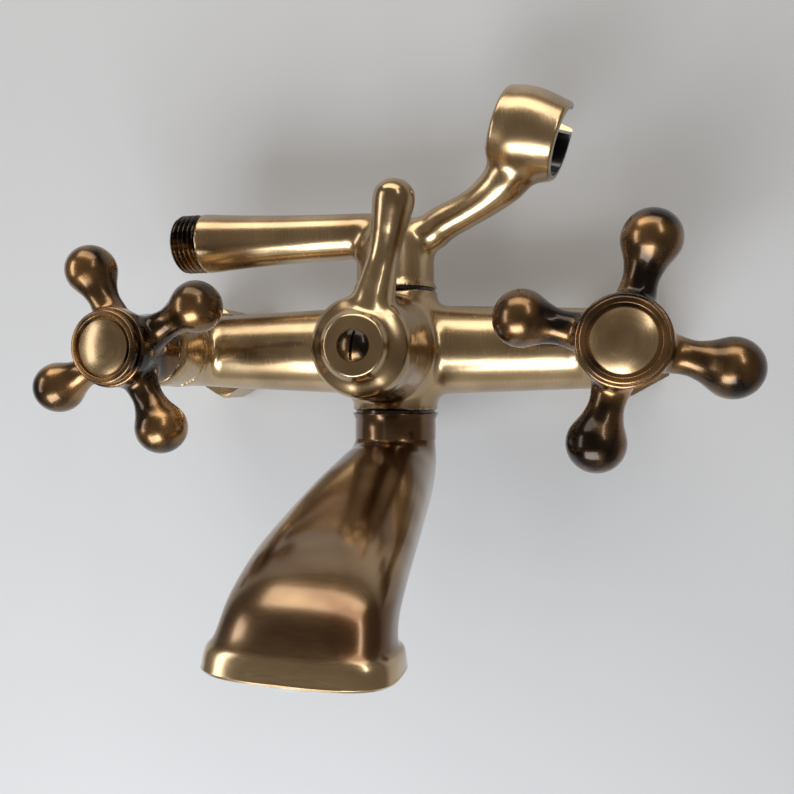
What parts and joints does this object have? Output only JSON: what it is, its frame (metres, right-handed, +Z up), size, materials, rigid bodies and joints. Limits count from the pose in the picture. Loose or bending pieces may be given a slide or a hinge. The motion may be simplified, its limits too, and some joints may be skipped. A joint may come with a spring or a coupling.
{
  "type": "bath shower mixer",
  "caption": "Wall-mounted bath and shower mixer in antique brass, with cross handles, a lever diverter, a swivelling duckbill spout and a shower arm with hose outlet and handset holder.",
  "frame": {"origin": "midway between the two wall inlets, on the plane of the union nuts' wall-side faces", "axes": "+X right as seen by the user, +Y into the wall, +Z up"},
  "size_m": [0.2175, 0.133, 0.1654],
  "materials": {
    "antique_brass": "brushed antique brass with brown patina, lacquered",
    "dark_antique_brass": "polished antique brass with dark mottled patina",
    "plated_brass": "satin antique brass plating",
    "bare_brass": "machined yellow brass",
    "spring_steel": "stainless steel",
    "rubber": "black nitrile rubber",
    "ceramic": "lapped white alumina",
    "black_plastic": "glossy black acetal",
    "grey_plastic": "light grey acetal"
  },
  "bodies": {
    "root": {"mixer_body": "antique_brass", "snap_ring_left": "spring_steel", "inlet_washer_left": "rubber", "inlet_strainer_left": "spring_steel", "headwork_left": "bare_brass", "headwork_seal_left": "rubber", "fixed_disc_left": "ceramic", "cover_sleeve_left": "antique_brass", "snap_ring_right": "spring_steel", "inlet_washer_right": "rubber", "inlet_strainer_right": "spring_steel", "headwork_right": "bare_brass", "headwork_seal_right": "rubber", "fixed_disc_right": "ceramic", "cover_sleeve_right": "antique_brass", "diverter_bonnet": "bare_brass", "shower_nipple": "bare_brass", "shower_rings": "rubber", "shower_washer": "black_plastic", "spout_nipple": "bare_brass", "spout_rings": "rubber", "spout_washer": "black_plastic"},
    "handle_left": {"cross_handle_left": "dark_antique_brass", "handle_screw_left": "spring_steel", "index_cap_left": "antique_brass", "spindle_left": "bare_brass", "spindle_ring_left": "rubber", "turning_disc_left": "ceramic"},
    "handle_right": {"cross_handle_right": "dark_antique_brass", "handle_screw_right": "spring_steel", "index_cap_right": "antique_brass", "spindle_right": "bare_brass", "spindle_ring_right": "rubber", "turning_disc_right": "ceramic"},
    "diverter": {"diverter_lever": "antique_brass", "lever_screw": "dark_antique_brass", "diverter_spindle": "bare_brass", "diverter_ring": "rubber", "diverter_plug": "bare_brass"},
    "shower": {"shower_arm": "antique_brass", "shower_set_screw": "spring_steel", "holder_liner": "black_plastic"},
    "spout_swivel": {"spout": "antique_brass", "spout_set_screw": "spring_steel", "aerator_shell": "grey_plastic", "aerator_screen": "grey_plastic", "aerator_gasket": "rubber"},
    "nut_left": {"union_nut_left": "plated_brass"},
    "nut_right": {"union_nut_right": "plated_brass"}
  },
  "joints": [
    {"name": "handle_left_turn", "type": "hinge", "parent": "root", "child": "handle_left", "pos_m": [-0.075, -0.036, 0], "axis": [0, -1, 0], "range_deg": [0, 90]},
    {"name": "handle_right_turn", "type": "hinge", "parent": "root", "child": "handle_right", "pos_m": [0.075, -0.036, 0], "axis": [0, -1, 0], "range_deg": [-90, 0]},
    {"name": "diverter_turn", "type": "hinge", "parent": "root", "child": "diverter", "pos_m": [0, -0.036, 0], "axis": [0, 1, 0], "range_deg": [-58.5, 31.5]},
    {"name": "shower_arm_swivel", "type": "hinge", "parent": "root", "child": "shower", "pos_m": [0, -0.036, 0.0395], "axis": [0, 0, 1], "range_deg": [-16, 16]},
    {"name": "spout_swivel_turn", "type": "hinge", "parent": "root", "child": "spout_swivel", "pos_m": [0, -0.036, -0.03], "axis": [0, 0, 1], "range_deg": [-60, 60]},
    {"name": "union_nut_left_turn", "type": "hinge", "parent": "root", "child": "nut_left", "pos_m": [-0.075, -0.00425, 0], "axis": [0, 1, 0], "continuous": true},
    {"name": "union_nut_right_turn", "type": "hinge", "parent": "root", "child": "nut_right", "pos_m": [0.075, -0.00425, 0], "axis": [0, 1, 0], "continuous": true}
  ]
}
